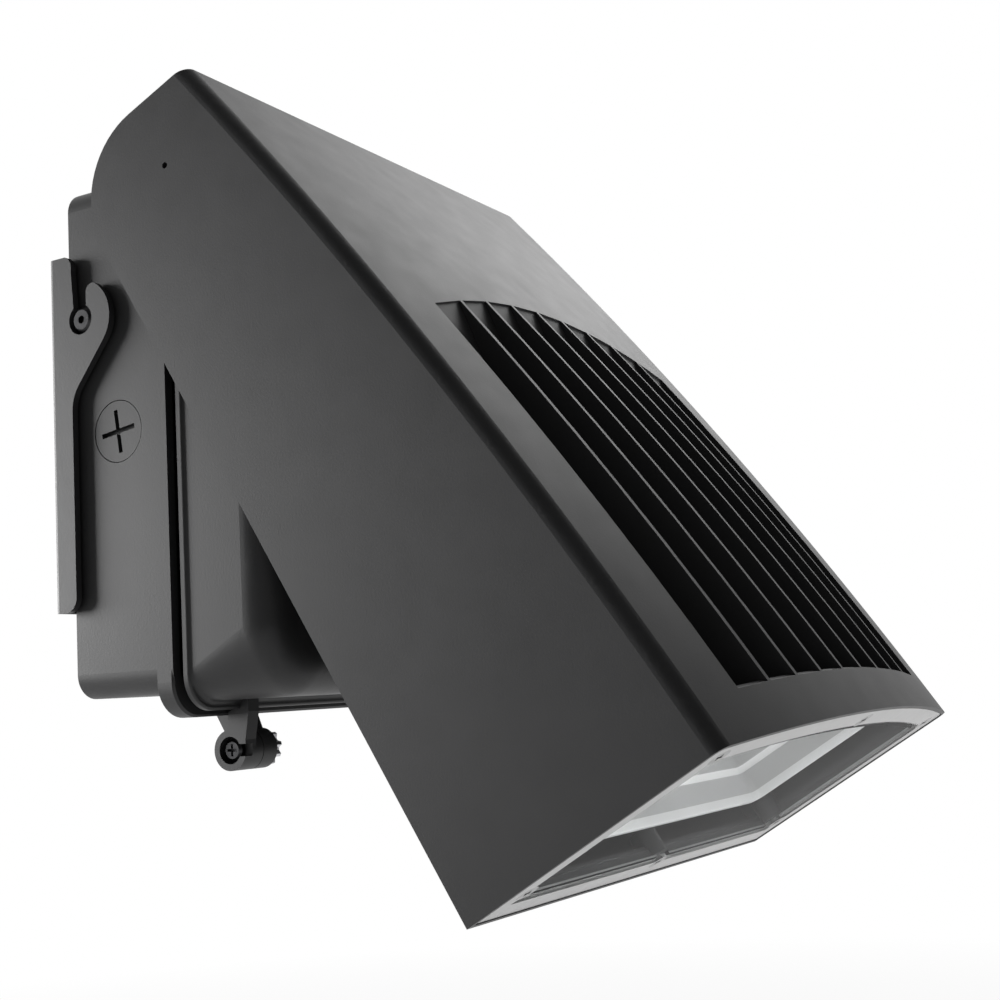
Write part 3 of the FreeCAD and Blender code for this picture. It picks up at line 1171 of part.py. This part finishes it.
def main():
    os.makedirs("parts", exist_ok=True)
    save("wall_bracket", wall_bracket())
    save("entry_seal", entry_seal())
    save("junction_box", junction_box())
    save("conduit_plugs", *pair(conduit_plug()))
    save("hook_studs", *pair(hook_stud()))
    save("cover_seal", cover_seal())
    save("led_driver", led_driver())
    save("driver_screws", *driver_screws())
    save("terminal_block", terminal_block())
    save("ground_screw", ground_screw())
    save("box_cover", box_cover())
    save("cover_screws", *cover_screws())
    save("hinge_screws", *pair(hinge_screw()))
    save("hinge_nuts", *pair(hinge_nut()))
    save("pivot_pins", *pair(pivot_pin()))
    save("pivot_washers", *pair(pivot_washer()))
    save("head_housing", *tilted([head_housing()]))
    save("tilt_lock_screws", *tilted(pair(tilt_lock_screw())))
    save("lens", *tilted([lens()]))
    save("lens_seal", *tilted([lens_seal()]))
    save("lens_screws", *tilted(lens_screws()))
    save("reflector", *tilted([reflector()]))
    save("light_board", *tilted([light_board()]))
    save("led_chips", *tilted(led_chips()))
    save("optic_plate", *tilted([optic_plate()]))
    save("board_screws", *tilted(board_screws()))


main()
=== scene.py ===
"""Looks of the adjustable wall pack light: materials, stepped reflector, studio and camera."""

import json
import math

import bmesh
import bpy
from mathutils import Matrix, Vector


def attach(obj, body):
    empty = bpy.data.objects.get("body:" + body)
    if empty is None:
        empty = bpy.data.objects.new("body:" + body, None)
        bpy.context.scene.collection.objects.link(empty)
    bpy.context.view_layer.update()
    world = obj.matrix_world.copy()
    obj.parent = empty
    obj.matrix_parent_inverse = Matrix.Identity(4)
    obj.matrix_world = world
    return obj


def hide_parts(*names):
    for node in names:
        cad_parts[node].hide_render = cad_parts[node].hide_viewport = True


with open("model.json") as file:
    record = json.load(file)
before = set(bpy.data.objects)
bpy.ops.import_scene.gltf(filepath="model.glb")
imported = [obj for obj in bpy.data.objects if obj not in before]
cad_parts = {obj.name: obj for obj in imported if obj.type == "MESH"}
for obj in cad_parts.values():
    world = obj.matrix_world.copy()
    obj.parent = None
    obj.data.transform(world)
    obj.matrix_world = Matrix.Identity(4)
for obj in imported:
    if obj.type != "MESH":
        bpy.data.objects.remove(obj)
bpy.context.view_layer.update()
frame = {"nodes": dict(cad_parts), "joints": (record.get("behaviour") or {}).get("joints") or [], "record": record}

MM = 0.001

# ---- camera, at the viewing angle of the photograph ----
CAMERA_PLACE = Vector((-0.486, -0.4045, -0.0951))
CAMERA_RIGHT = Vector((0.5109, -0.8579, -0.0548))
CAMERA_BACK = Vector((-0.8562, -0.5021, -0.1215))
CAMERA_LENS = 55.44          # millimetres
CAMERA_SENSOR = 36.0
CAMERA_CLIP = (0.01, 50.0)

# ---- head frame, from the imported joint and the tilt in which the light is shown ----
HEAD_TILT = math.radians(30.8)
TILT_JOINT = next(j for j in frame["joints"] if j["name"] == "head_tilt")
PIVOT = Vector(TILT_JOINT["pos_m"])
HEAD_TO_ROW = Matrix.Translation(PIVOT) @ Matrix.Rotation(-HEAD_TILT, 4, "X")

# ---- lens face, metres in the head frame ----
HEAD_HALF = 0.11
LENS_FRONT = -0.0578
LENS_BACK = 0.0367
LENS_CROWN = 0.011
LENS_FLANGE = 0.0105
FLANGE_EDGE = 0.0004         # half the soft edge between flange and window

# ---- reflector, millimetres in the head frame ----
LENS_DROP = 265.5            # lens face below the pivot
CORNER_STEPS = 5
REFLECTOR_WALL = 1.0
REFLECTOR_EDGE = 0.5         # bevel along its steps
REFLECTOR_EDGE_ANGLE = math.radians(25)
REFLECTOR_SHADED_WALLS = (3, 5)     # upright walls that take a darker grey as painted shade, by their place between the rings
REFLECTOR_RINGS = (          # half width, front, back, corner, height above the lens face
    (93.6, -37.0, 21.4, 6.0, 15.2), (93.6, -37.0, 21.4, 6.0, 13.8), (91.6, -34.8, 19.5, 4.0, 13.6),
    (90.0, -34.0, 18.9, 3.5, 16.5), (89.0, -33.6, 18.5, 3.0, 25.0), (83.0, -31.2, 15.5, 3.0, 26.5),
    (81.5, -30.4, 15.2, 2.5, 34.0), (77.0, -28.4, 18.5, 2.0, 49.6))

# ---- stage ----
FLOOR_HEIGHT = -0.45
FLOOR_SIZE = 12.0
FLOOR_COLOUR = 0.8
FLOOR_ROUGHNESS = 0.9
FLOOR_WHITE = (0.75, 1.0)    # share of the white background near the object and far from it
FLOOR_FADE = (0.35, 1.6)     # distances between which that share rises
BACKGROUND = 1.0             # background seen directly and through clear pieces
AMBIENT = 0.2                # light that the surroundings give
CEILING = 0.4                # share of it that gloss sees away from the backdrop
BACKDROP_WAY = (0.61, 0.71, 0.355)    # middle of the white backdrop that gloss reflects
BACKDROP_EDGE = (0.15, 0.85)          # its soft edge, as cosines from that middle
LAMPS = (                    # name, place, target, size, power
    ("back_left_softbox", (-0.6, 1.3, 0.1), (-0.08, -0.05, -0.02), (0.6, 0.6), 30.0),
    ("back_right_softbox", (1.1, -0.1, 0.9), (0, -0.15, 0), (0.6, 0.7), 2.6),
    ("back_right_fill", (1.3, -0.1, 0.75), (0, -0.15, 0), (1.3, 0.9), 2.2),
    ("front_low_softbox", (0.35, -0.85, -0.36), (0, -0.28, -0.12), (0.6, 0.15), 1.5))

# ---- surfaces: share by which colours vary, and noise scales per metre ----
NOISE_SPAN = (0.35, 0.65)    # the part of the noise over which a colour changes
COAT_MOTTLE, COAT_MOTTLE_SCALE = 0.08, 14.0
COAT_GLOSS_SCALE = 90.0
COAT_PEEL, COAT_PEEL_SCALE = 0.00004, 1400.0
COAT_SPECULAR = 0.38
METAL_SHADE, METAL_SCALE = 0.15, 700.0
METAL_GLOSS_SCALE = 300.0
PLASTIC_SHADE, PLASTIC_SCALE = 0.05, 40.0
PLASTIC_GLOSS_SCALE = 150.0
PLASTIC_GRAIN, PLASTIC_GRAIN_SCALE = 0.00002, 2200.0
WINDOW_IOR = 1.13            # low, so that the thin plate hardly shifts what is seen through it
WINDOW_TINT = (0.98, 0.985, 0.985, 1)
WINDOW_GLOSS_IOR, WINDOW_GLOSS_ROUGHNESS = 1.02, 0.03
FLANGE_COLOUR = (0.5, 0.5, 0.5, 1)
FLANGE_ROUGHNESS, FLANGE_GLOSS_SCALE = (0.25, 0.4), 200.0
FLANGE_GRAIN, FLANGE_GRAIN_SCALE = 0.00003, 1500.0


# ---------------------------------------------------------------- materials
class Nodes:
    """A new material and its shader nodes."""

    def __init__(self, name):
        self.material = bpy.data.materials.new(name)
        self.material.use_nodes = True
        self.tree = self.material.node_tree
        self.shader = self.tree.nodes["Principled BSDF"]

    def add(self, kind, **values):
        node = self.tree.nodes.new(kind)
        for key, value in values.items():
            if hasattr(node, key):
                setattr(node, key, value)
            else:
                node.inputs[key.replace("_", " ")].default_value = value
        return node

    def join(self, source, target):
        self.tree.links.new(source, target)

    def place(self):
        """Place on the object, in its own coordinates."""
        return self.add("ShaderNodeTexCoord").outputs["Object"]


def noise(nodes, scale, detail, roughness=0.5):
    """Noise texture in object space, scale per metre."""
    texture = nodes.add("ShaderNodeTexNoise", Scale=scale, Detail=detail, Roughness=roughness)
    nodes.join(nodes.place(), texture.inputs["Vector"])
    return texture.outputs["Fac"]


def ramp(nodes, source, low, high):
    """Colour ramp between two colours, over the middle of the noise."""
    node = nodes.add("ShaderNodeValToRGB")
    for stop, position, colour in zip(node.color_ramp.elements, NOISE_SPAN, (low, high)):
        stop.position = position
        stop.color = (*colour, 1)
    nodes.join(source, node.inputs["Fac"])
    return node.outputs["Color"]


def spread(nodes, source, low, high):
    """Maps a 0 to 1 value to a range."""
    node = nodes.add("ShaderNodeMapRange", To_Min=low, To_Max=high)
    nodes.join(source, node.inputs["Value"])
    return node.outputs["Result"]


def bump(nodes, source, distance, strength=1.0):
    """Bump into the shader's normal."""
    node = nodes.add("ShaderNodeBump", Strength=strength, Distance=distance)
    nodes.join(source, node.inputs["Height"])
    nodes.join(node.outputs["Normal"], nodes.shader.inputs["Normal"])


def grey(value):
    """Grey that is a touch blue, as the coat is."""
    return (value, value, value * 1.03)


def powder_coat(name, level, roughness=0.46):
    """Dark powder coat: fine orange peel, slight mottling in colour and gloss."""
    nodes = Nodes(name)
    mottle = noise(nodes, COAT_MOTTLE_SCALE, 4.0)
    dark, light = grey(level * (1 - COAT_MOTTLE)), grey(level * (1 + COAT_MOTTLE))
    nodes.join(ramp(nodes, mottle, dark, light), nodes.shader.inputs["Base Color"])
    gloss = noise(nodes, COAT_GLOSS_SCALE, 3.0)
    nodes.join(spread(nodes, gloss, roughness - 0.04, roughness + 0.05),
               nodes.shader.inputs["Roughness"])
    bump(nodes, noise(nodes, COAT_PEEL_SCALE, 2.0, 0.6), COAT_PEEL, 0.7)
    nodes.shader.inputs["Specular IOR Level"].default_value = COAT_SPECULAR
    return nodes.material


def shaded(colour, share):
    """The colour, darker by a share."""
    return tuple(c * (1 - share) for c in colour)


def metal(name, colour, roughness):
    """Plated steel with fine marks."""
    nodes = Nodes(name)
    nodes.shader.inputs["Metallic"].default_value = 1.0
    streaks = noise(nodes, METAL_SCALE, 3.0)
    nodes.join(ramp(nodes, streaks, shaded(colour, METAL_SHADE), colour),
               nodes.shader.inputs["Base Color"])
    gloss = noise(nodes, METAL_GLOSS_SCALE, 2.0)
    nodes.join(spread(nodes, gloss, roughness - 0.06, roughness + 0.08),
               nodes.shader.inputs["Roughness"])
    return nodes.material


def plastic(name, colour, roughness, grain=PLASTIC_GRAIN):
    """Moulded plastic or rubber with a fine grain."""
    nodes = Nodes(name)
    cloud = noise(nodes, PLASTIC_SCALE, 3.0)
    nodes.join(ramp(nodes, cloud, shaded(colour, PLASTIC_SHADE), colour),
               nodes.shader.inputs["Base Color"])
    gloss = noise(nodes, PLASTIC_GLOSS_SCALE, 2.0)
    nodes.join(spread(nodes, gloss, roughness - 0.03, roughness + 0.05),
               nodes.shader.inputs["Roughness"])
    bump(nodes, noise(nodes, PLASTIC_GRAIN_SCALE, 2.0), grain, 0.5)
    return nodes.material


def math_node(nodes, operation, first, second):
    """Math node of two sockets or numbers."""
    node = nodes.add("ShaderNodeMath", operation=operation)
    for socket, value in zip(node.inputs, (first, second)):
        if isinstance(value, float):
            socket.default_value = value
        else:
            nodes.join(value, socket)
    return node.outputs["Value"]


def flange_mask(nodes):
    """1 on the frosted flange of the lens, 0 in its window, from the place in the head frame."""
    place = nodes.add("ShaderNodeMapping", vector_type="TEXTURE")
    place.inputs["Location"].default_value = PIVOT
    place.inputs["Rotation"].default_value = (-HEAD_TILT, 0, 0)
    nodes.join(nodes.place(), place.inputs["Vector"])
    axes = nodes.add("ShaderNodeSeparateXYZ")
    nodes.join(place.outputs["Vector"], axes.inputs[0])
    across = math_node(nodes, "ABSOLUTE", axes.outputs["X"], 0.0)
    square = math_node(nodes, "POWER", across, 2.0)
    crown = math_node(nodes, "MULTIPLY", square, -LENS_CROWN / HEAD_HALF ** 2)
    front = math_node(nodes, "ADD", math_node(nodes, "ADD", axes.outputs["Y"], crown),
                      LENS_CROWN - LENS_FRONT)
    side = math_node(nodes, "SUBTRACT", across, HEAD_HALF - LENS_FLANGE)
    near = math_node(nodes, "SUBTRACT", LENS_FLANGE, front)
    far = math_node(nodes, "SUBTRACT", axes.outputs["Y"], LENS_BACK - LENS_FLANGE)
    beyond = math_node(nodes, "MAXIMUM", math_node(nodes, "MAXIMUM", side, near), far)
    mask = nodes.add("ShaderNodeMapRange", From_Min=-FLANGE_EDGE, From_Max=FLANGE_EDGE)
    nodes.join(beyond, mask.inputs["Value"])
    return mask.outputs["Result"]


def lens_material(name):
    """Clear window with a faint gloss, and a frosted flange over the ledge of the housing."""
    nodes = Nodes(name)
    nodes.shader.inputs["Base Color"].default_value = FLANGE_COLOUR
    nodes.join(spread(nodes, noise(nodes, FLANGE_GLOSS_SCALE, 3.0), *FLANGE_ROUGHNESS),
               nodes.shader.inputs["Roughness"])
    bump(nodes, noise(nodes, FLANGE_GRAIN_SCALE, 2.0), FLANGE_GRAIN, 0.4)
    see = nodes.add("ShaderNodeBsdfRefraction", IOR=WINDOW_IOR, Roughness=0.0, Color=WINDOW_TINT)
    gloss = nodes.add("ShaderNodeBsdfGlossy", Roughness=WINDOW_GLOSS_ROUGHNESS)
    rim = nodes.add("ShaderNodeFresnel", IOR=WINDOW_GLOSS_IOR)
    window = nodes.add("ShaderNodeMixShader")
    nodes.join(rim.outputs["Fac"], window.inputs["Fac"])
    nodes.join(see.outputs[0], window.inputs[1])
    nodes.join(gloss.outputs[0], window.inputs[2])
    plate = nodes.add("ShaderNodeMixShader")
    nodes.join(flange_mask(nodes), plate.inputs["Fac"])
    nodes.join(window.outputs[0], plate.inputs[1])
    nodes.join(nodes.shader.outputs[0], plate.inputs[2])
    nodes.join(plate.outputs[0], nodes.tree.nodes["Material Output"].inputs["Surface"])
    return nodes.material


def make_materials():
    """The materials by name; a CAD node takes the one named as its slot."""
    return {
        "powder_coat": powder_coat("powder_coat", 0.026),
        "bracket_coat": powder_coat("bracket_coat", 0.03, 0.48),
        "foam": plastic("foam", (0.03, 0.03, 0.03), 0.9, 0.0001),
        "silicone": plastic("silicone", (0.012, 0.012, 0.012), 0.6),
        "pale_silicone": plastic("pale_silicone", (0.4, 0.4, 0.4), 0.55),
        "black_screw": metal("black_screw", (0.05, 0.05, 0.052), 0.35),
        "zinc_screw": metal("zinc_screw", (0.62, 0.62, 0.64), 0.3),
        "steel_screw": metal("steel_screw", (0.3, 0.3, 0.3), 0.3),
        "green_screw": metal("green_screw", (0.05, 0.3, 0.1), 0.35),
        "steel_pin": metal("steel_pin", (0.6, 0.6, 0.62), 0.25),
        "nylon": plastic("nylon", (0.72, 0.7, 0.64), 0.5),
        "driver_case": plastic("driver_case", (0.03, 0.03, 0.032), 0.45),
        "terminal_plastic": plastic("terminal_plastic", (0.3, 0.31, 0.32), 0.4),
        "clear_lens": lens_material("clear_lens"),
        "clear_optic": plastic("clear_optic", (0.8, 0.82, 0.82), 0.15, 0.0),
        "white_reflector": plastic("white_reflector", (0.93, 0.93, 0.93), 0.3, 0.00001),
        # painted shade: a darker grey for the reflector's upright walls between its steps
        "reflector_painted_shade": plastic("reflector_painted_shade", (0.6, 0.6, 0.6), 0.4, 0.00001),
        "board_white": plastic("board_white", (0.85, 0.85, 0.83), 0.35, 0.0),
        "led_yellow": plastic("led_yellow", (0.9, 0.72, 0.2), 0.4),
    }


NODE_MATERIALS = {"lens_seal": "pale_silicone"}     # nodes that don't take their slot's material


def dress_nodes(materials):
    """Gives each CAD node its material."""
    for part in frame["record"]["subparts"]:
        name = NODE_MATERIALS.get(part["node"], part["material_slot"])
        node = frame["nodes"][part["node"]]
        node.data.materials.clear()
        node.data.materials.append(materials[name])


# ---------------------------------------------------------------- reflector
def ring(half, front, back, corner, height):
    """Rounded rectangle across the head, in the head frame, its height above the lens face."""
    points = []
    corners = ((half, back, 0), (-half, back, 90), (-half, front, 180), (half, front, 270))
    for cx, cy, start in corners:
        centre_x = cx - math.copysign(corner, cx)
        centre_y = cy - corner if cy == back else cy + corner
        for k in range(CORNER_STEPS + 1):
            angle = math.radians(start + 90 * k / CORNER_STEPS)
            points.append(Vector((centre_x + corner * math.cos(angle),
                                  centre_y + corner * math.sin(angle), height - LENS_DROP)))
    return [HEAD_TO_ROW @ (point * MM) for point in points]


def make_reflector(materials):
    """White reflector with two steps and painted shade on its upright walls, in the place of the CAD model's,
    which has one step and a mouth further from the lens."""
    mesh = bmesh.new()
    rings = [[mesh.verts.new(point) for point in ring(*outline)] for outline in REFLECTOR_RINGS]
    for low, high in zip(rings, rings[1:]):
        for k in range(len(low)):
            mesh.faces.new((low[k], low[k - 1], high[k - 1], high[k]))
    bmesh.ops.recalc_face_normals(mesh, faces=mesh.faces)
    data = bpy.data.meshes.new("stepped_reflector")
    mesh.to_mesh(data)
    mesh.free()
    for face in data.polygons:
        face.use_smooth = True
    piece = bpy.data.objects.new("stepped_reflector", data)
    bpy.context.scene.collection.objects.link(piece)
    wall = piece.modifiers.new("wall", "SOLIDIFY")
    wall.thickness = REFLECTOR_WALL * MM
    wall.offset = 0.0
    edges = piece.modifiers.new("edges", "BEVEL")
    edges.width = REFLECTOR_EDGE * MM
    edges.segments = 2
    edges.limit_method = "ANGLE"
    edges.angle_limit = REFLECTOR_EDGE_ANGLE
    piece.modifiers.new("normals", "WEIGHTED_NORMAL")
    data.materials.append(materials["white_reflector"])
    # the upright walls take the darker grey as painted shade
    data.materials.append(materials["reflector_painted_shade"])
    around = len(data.polygons) // (len(REFLECTOR_RINGS) - 1)
    for face in data.polygons:
        face.material_index = 1 if face.index // around in REFLECTOR_SHADED_WALLS else 0
    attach(piece, "head")
    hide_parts("reflector")


# ---------------------------------------------------------------- stage
def ray_mix(tree, seen, other, kinds):
    """Mix of two shaders that shows `seen` to the given kinds of ray."""
    path = tree.nodes.new("ShaderNodeLightPath")
    total = path.outputs[kinds[0]]
    for kind in kinds[1:]:
        both = tree.nodes.new("ShaderNodeMath")
        both.operation = "MAXIMUM"
        tree.links.new(total, both.inputs[0])
        tree.links.new(path.outputs[kind], both.inputs[1])
        total = both.outputs[0]
    mix = tree.nodes.new("ShaderNodeMixShader")
    tree.links.new(total, mix.inputs["Fac"])
    tree.links.new(other, mix.inputs[1])
    tree.links.new(seen, mix.inputs[2])
    return mix.outputs[0]


def make_world():
    """White background; gloss sees a white backdrop behind the object, under a darker ceiling."""
    world = bpy.data.worlds.new("studio")
    bpy.context.scene.world = world
    world.use_nodes = True
    tree = world.node_tree
    ambient = tree.nodes["Background"]
    ambient.inputs["Color"].default_value = (1, 1, 1, 1)
    ambient.inputs["Strength"].default_value = AMBIENT
    way = tree.nodes.new("ShaderNodeTexCoord")
    across = tree.nodes.new("ShaderNodeVectorMath")
    across.operation = "DOT_PRODUCT"
    across.inputs[1].default_value = BACKDROP_WAY
    tree.links.new(way.outputs["Generated"], across.inputs[0])
    edge = tree.nodes.new("ShaderNodeMapRange")
    edge.interpolation_type = "SMOOTHSTEP"
    edge.inputs["From Min"].default_value, edge.inputs["From Max"].default_value = BACKDROP_EDGE
    edge.inputs["To Min"].default_value = AMBIENT * CEILING
    tree.links.new(across.outputs["Value"], edge.inputs["Value"])
    backdrop = tree.nodes.new("ShaderNodeBackground")
    tree.links.new(edge.outputs["Result"], backdrop.inputs["Color"])
    seen = tree.nodes.new("ShaderNodeBackground")
    seen.inputs["Color"].default_value = (1, 1, 1, 1)
    seen.inputs["Strength"].default_value = BACKGROUND
    gloss = ray_mix(tree, backdrop.outputs[0], ambient.outputs[0], ["Is Glossy Ray"])
    mixed = ray_mix(tree, seen.outputs[0], gloss, ["Is Camera Ray", "Is Transmission Ray"])
    tree.links.new(mixed, tree.nodes["World Output"].inputs["Surface"])


def make_floor():
    """Pale floor that keeps the shadow and runs into the white background further out."""
    bpy.ops.mesh.primitive_plane_add(size=FLOOR_SIZE, location=(0, 0, FLOOR_HEIGHT))
    floor = bpy.context.object
    floor.name = "floor"
    nodes = Nodes("floor")
    nodes.shader.inputs["Base Color"].default_value = (*[FLOOR_COLOUR] * 3, 1)
    nodes.shader.inputs["Roughness"].default_value = FLOOR_ROUGHNESS
    white = nodes.add("ShaderNodeEmission", Strength=BACKGROUND)
    reach = nodes.add("ShaderNodeVectorMath", operation="LENGTH")
    nodes.join(nodes.place(), reach.inputs[0])
    fade = nodes.add("ShaderNodeMapRange", From_Min=FLOOR_FADE[0], From_Max=FLOOR_FADE[1],
                     To_Min=FLOOR_WHITE[0], To_Max=FLOOR_WHITE[1])
    nodes.join(reach.outputs["Value"], fade.inputs["Value"])
    blend = nodes.add("ShaderNodeMixShader")
    nodes.join(fade.outputs["Result"], blend.inputs["Fac"])
    nodes.join(nodes.shader.outputs[0], blend.inputs[1])
    nodes.join(white.outputs[0], blend.inputs[2])
    mixed = ray_mix(nodes.tree, blend.outputs[0], nodes.shader.outputs[0],
                    ["Is Camera Ray", "Is Transmission Ray", "Is Glossy Ray"])
    nodes.join(mixed, nodes.tree.nodes["Material Output"].inputs["Surface"])
    floor.data.materials.append(nodes.material)


def area_light(name, place, target, size, power):
    """White rectangular lamp that points from its place at the target."""
    data = bpy.data.lights.new(name, "AREA")
    data.shape = "RECTANGLE"
    data.size, data.size_y = size
    data.energy = power
    lamp = bpy.data.objects.new(name, data)
    bpy.context.scene.collection.objects.link(lamp)
    lamp.location = place
    lamp.visible_camera = False
    lamp.rotation_mode = "QUATERNION"
    lamp.rotation_quaternion = (Vector(target) - Vector(place)).to_track_quat("-Z", "Y")


def make_camera():
    """Camera at the photograph's viewing angle."""
    data = bpy.data.cameras.new("camera")
    data.lens = CAMERA_LENS
    data.sensor_width = CAMERA_SENSOR
    data.clip_start, data.clip_end = CAMERA_CLIP
    camera = bpy.data.objects.new("camera", data)
    bpy.context.scene.collection.objects.link(camera)
    back = CAMERA_BACK.normalized()
    right = (CAMERA_RIGHT - back * CAMERA_RIGHT.dot(back)).normalized()
    up = back.cross(right)
    turn = Matrix((right, up, back)).transposed()
    camera.matrix_world = Matrix.Translation(CAMERA_PLACE) @ turn.to_4x4()
    bpy.context.scene.camera = camera


materials = make_materials()
dress_nodes(materials)
make_reflector(materials)
make_world()
make_floor()
for lamp in LAMPS:
    area_light(*lamp)
make_camera()
bpy.context.scene.view_settings.view_transform = "Standard"
